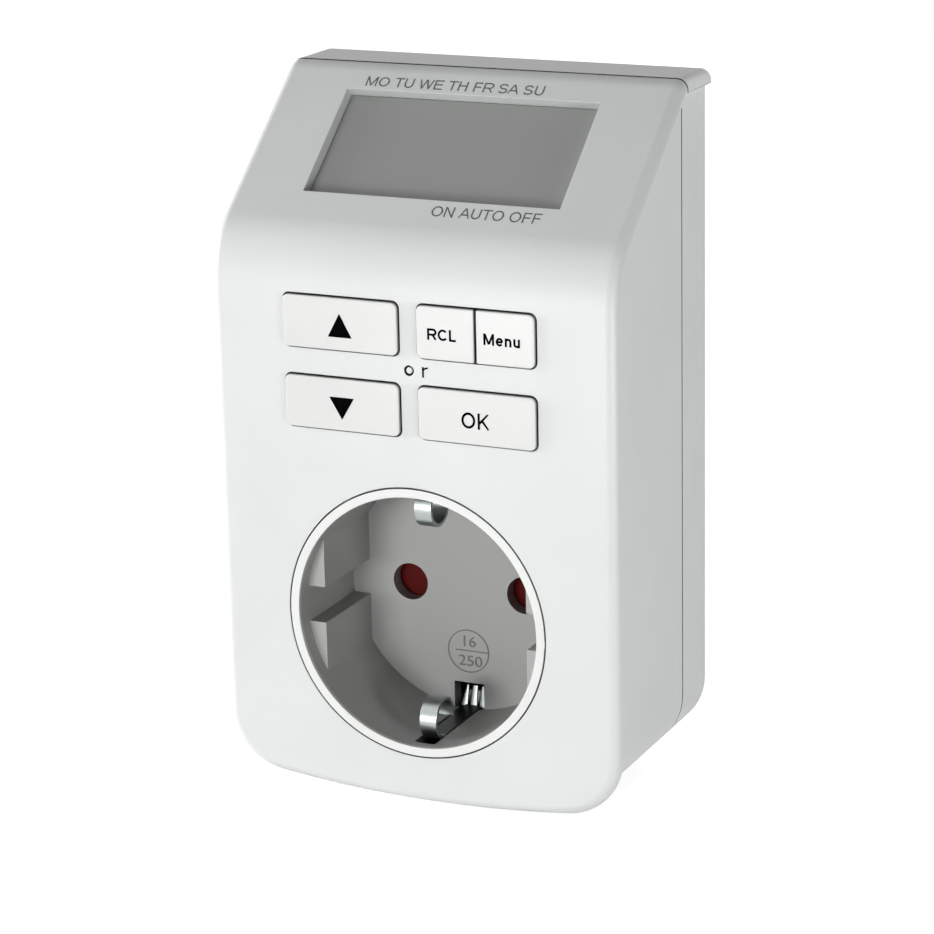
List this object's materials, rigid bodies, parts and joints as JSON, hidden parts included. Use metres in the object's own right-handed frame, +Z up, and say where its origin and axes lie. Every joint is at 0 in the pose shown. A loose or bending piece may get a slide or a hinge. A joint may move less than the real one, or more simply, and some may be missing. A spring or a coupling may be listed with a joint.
{
  "type": "plug in timer switch",
  "caption": "Plug-in timer switch: upright white case with a sloped display, push keys under it, a round earthed socket in the front with a turning shutter, and an earthed plug behind.",
  "frame": {"origin": "middle of the plug's end face, between its two pins", "axes": "+Y out of the back along the plug pins, towards the wall outlet; +Z up; +X to the right seen from the front"},
  "size_m": [0.064, 0.0737, 0.1057],
  "materials": {
    "case_white": "satin",
    "socket_white": "satin",
    "key_white": "satin",
    "carrier_grey": "matt",
    "shutter_red": "gloss",
    "spring_steel": "drawn wire",
    "contact_brass": "stamped",
    "earth_plated": "bright plated",
    "pin_nickel": "bright nickel",
    "lead_brown": "insulation",
    "lead_blue": "insulation",
    "plunger_black": "matt",
    "switch_grey": "matt",
    "board_green": "solder mask",
    "chip_black": "matt",
    "can_steel": "can",
    "window_clear": "clear",
    "lcd_grey": "liquid crystal cell",
    "flex_amber": "film",
    "ribbon_grey": "ribbon",
    "relay_blue": "moulded",
    "capacitor_yellow": "moulded",
    "sleeve_navy": "shrink sleeve",
    "varistor_orange": "dipped",
    "resistor_tan": "dipped",
    "screw_zinc": "zinc plated"
  },
  "bodies": {
    "case": {"front_cover": "case_white", "rear_cover": "case_white", "socket_insert": "socket_white", "contact_carrier": "carrier_grey", "shutter_spring": "spring_steel", "live_contact": "contact_brass", "neutral_contact": "contact_brass", "earth_clip_top": "earth_plated", "earth_clip_bottom": "earth_plated", "earth_bridge": "earth_plated", "earth_pin_sleeve": "contact_brass", "plug_pin_live": "pin_nickel", "plug_pin_neutral": "pin_nickel", "neutral_busbar": "contact_brass", "live_lead": "lead_brown", "load_lead": "lead_brown", "neutral_lead": "lead_blue", "tact_switches": "switch_grey", "control_board": "board_green", "microcontroller": "chip_black", "crystal": "can_steel", "display_window": "window_clear", "lcd_glass": "lcd_grey", "lcd_holder": "carrier_grey", "lcd_flex": "flex_amber", "power_board": "board_green", "board_ribbon": "ribbon_grey", "relay": "relay_blue", "mains_capacitor": "capacitor_yellow", "electrolytic_capacitor": "sleeve_navy", "varistor": "varistor_orange", "resistors": "resistor_tan", "diodes": "chip_black", "backup_battery": "can_steel", "battery_clip": "contact_brass", "case_screws": "screw_zinc", "board_screws": "screw_zinc", "control_screws": "screw_zinc", "carrier_screws": "screw_zinc"},
    "key_up_body": {"key_up": "key_white", "plunger_up": "plunger_black"},
    "key_down_body": {"key_down": "key_white", "plunger_down": "plunger_black"},
    "key_rcl_body": {"key_rcl": "key_white", "plunger_rcl": "plunger_black"},
    "key_menu_body": {"key_menu": "key_white", "plunger_menu": "plunger_black"},
    "key_ok_body": {"key_ok": "key_white", "plunger_ok": "plunger_black"},
    "reset_body": {"reset_button": "key_white", "plunger_reset": "plunger_black"},
    "shutter_body": {"shutter": "shutter_red"}
  },
  "joints": [
    {"name": "press_up", "type": "slide", "parent": "case", "child": "key_up_body", "axis": [0, 1, 0], "range_m": [0, 0.0005], "stiffness_N_per_m": 1500, "springref_m": -0.0002},
    {"name": "press_down", "type": "slide", "parent": "case", "child": "key_down_body", "axis": [0, 1, 0], "range_m": [0, 0.0005], "stiffness_N_per_m": 1500, "springref_m": -0.0002},
    {"name": "press_rcl", "type": "slide", "parent": "case", "child": "key_rcl_body", "axis": [0, 1, 0], "range_m": [0, 0.0005], "stiffness_N_per_m": 1500, "springref_m": -0.0002},
    {"name": "press_menu", "type": "slide", "parent": "case", "child": "key_menu_body", "axis": [0, 1, 0], "range_m": [0, 0.0005], "stiffness_N_per_m": 1500, "springref_m": -0.0002},
    {"name": "press_ok", "type": "slide", "parent": "case", "child": "key_ok_body", "axis": [0, 1, 0], "range_m": [0, 0.0005], "stiffness_N_per_m": 1500, "springref_m": -0.0002},
    {"name": "press_reset", "type": "slide", "parent": "case", "child": "reset_body", "axis": [0, 1, 0], "range_m": [0, 0.0005], "stiffness_N_per_m": 1500, "springref_m": -0.0002},
    {"name": "turn_shutter", "type": "hinge", "parent": "case", "child": "shutter_body", "pos_m": [0, -0.03305, 0], "axis": [0, -1, 0], "range_deg": [0, 40], "stiffness_Nm_per_rad": 0.002, "springref_deg": -17.19}
  ]
}
